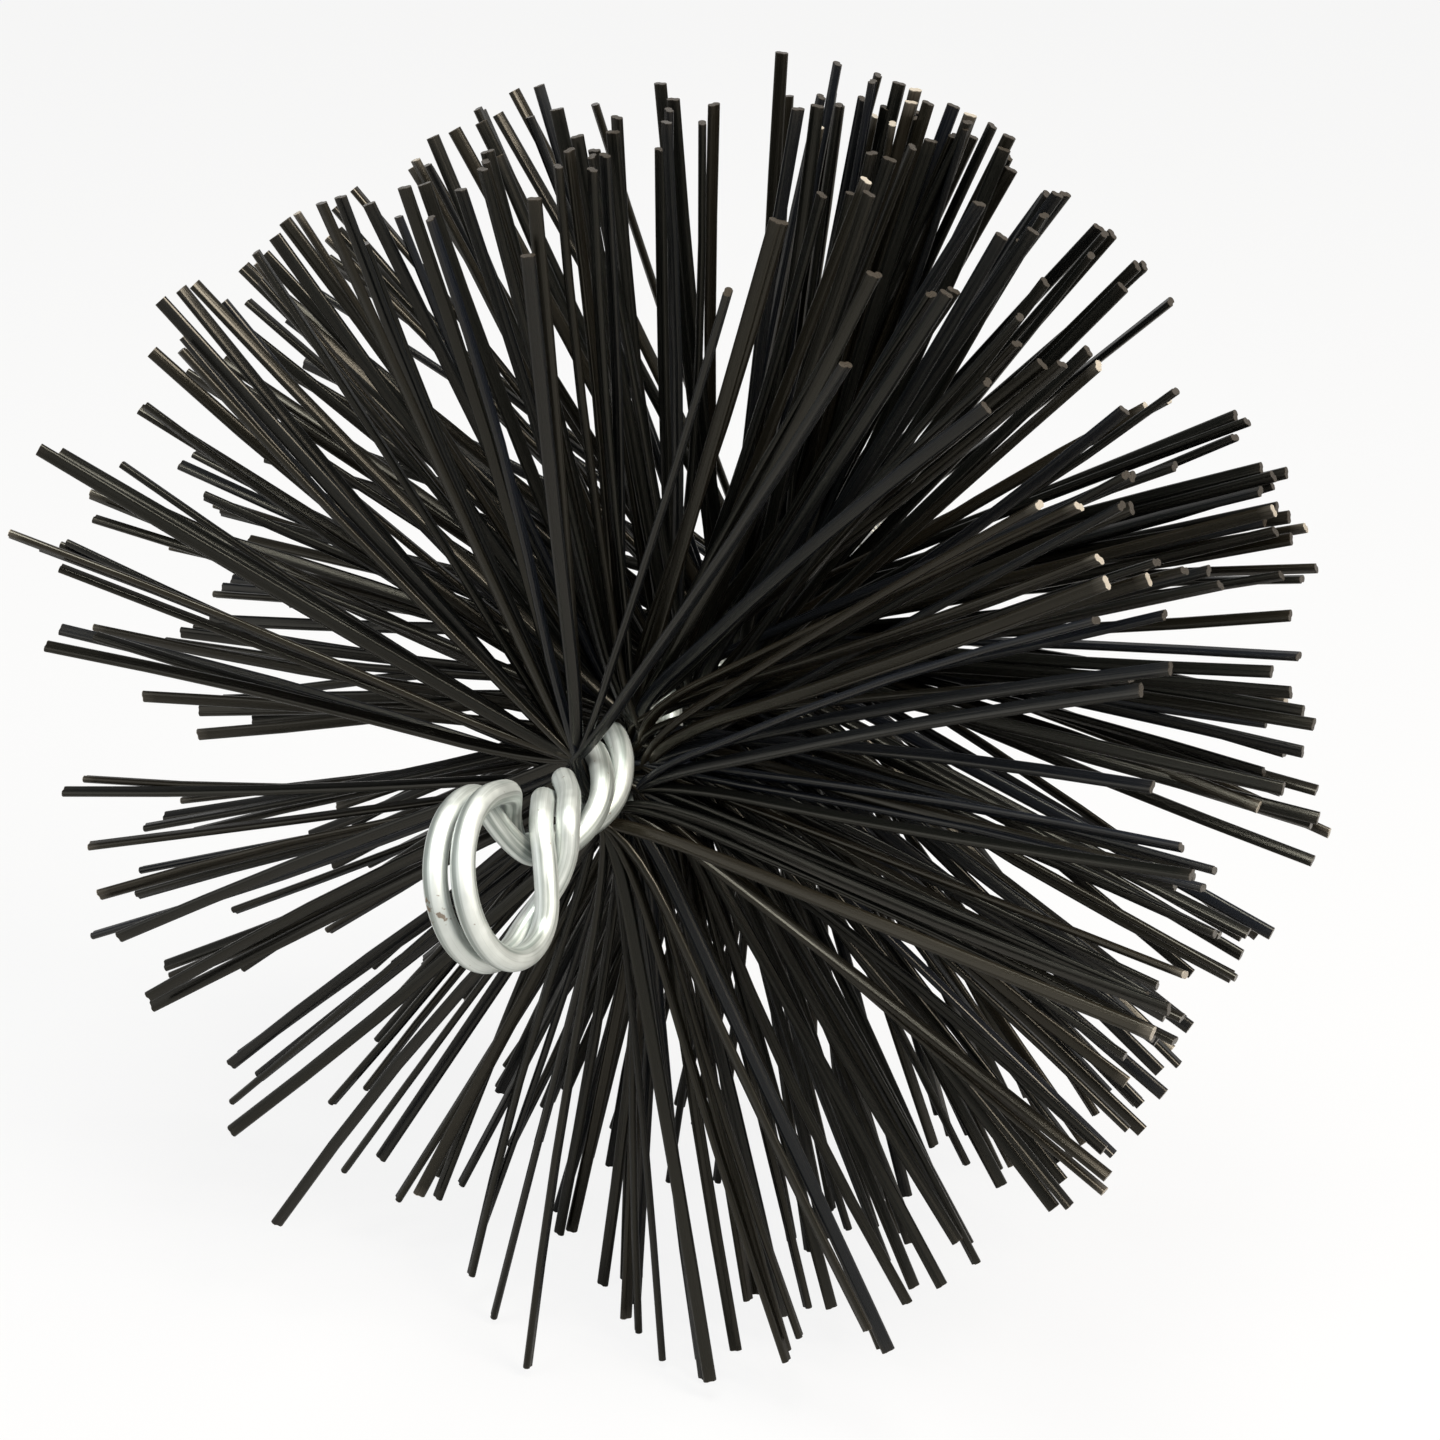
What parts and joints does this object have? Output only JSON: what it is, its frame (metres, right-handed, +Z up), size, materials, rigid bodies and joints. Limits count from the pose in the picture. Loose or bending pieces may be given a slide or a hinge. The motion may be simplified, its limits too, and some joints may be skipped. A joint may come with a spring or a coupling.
{
  "type": "chimney sweep brush",
  "caption": "Round chimney sweep brush: stiff black bristles held in a core of twisted steel wire, with a double wire eye at one end and a threaded stud for a rod at the other.",
  "frame": {"origin": "on the brush's axis at the shoulder of the rod fitting, where the coupling of a sweep's rod comes to rest", "axes": "+Z up with the brush lying on its lowest bristle tips; +Y along the axis and out of the threaded stud; the wire eye is at the -Y end"},
  "size_m": [0.2021, 0.167, 0.2017],
  "materials": {
    "wire": "dull galvanised, drawn round wire with small brown specks",
    "fitting": "bright zinc plate, turned and pressed",
    "bristle": "black extruded polypropylene, satin, with a faint lengthwise groove"
  },
  "bodies": {
    "root": {"wire_near": "wire", "wire_far": "wire", "rod_fitting": "fitting", "bristles_01": "bristle", "bristles_02": "bristle", "bristles_03": "bristle", "bristles_04": "bristle", "bristles_05": "bristle", "bristles_06": "bristle", "bristles_07": "bristle", "bristles_08": "bristle", "bristles_09": "bristle", "bristles_10": "bristle", "bristles_11": "bristle", "bristles_12": "bristle", "bristles_13": "bristle", "bristles_14": "bristle"}
  },
  "joints": []
}
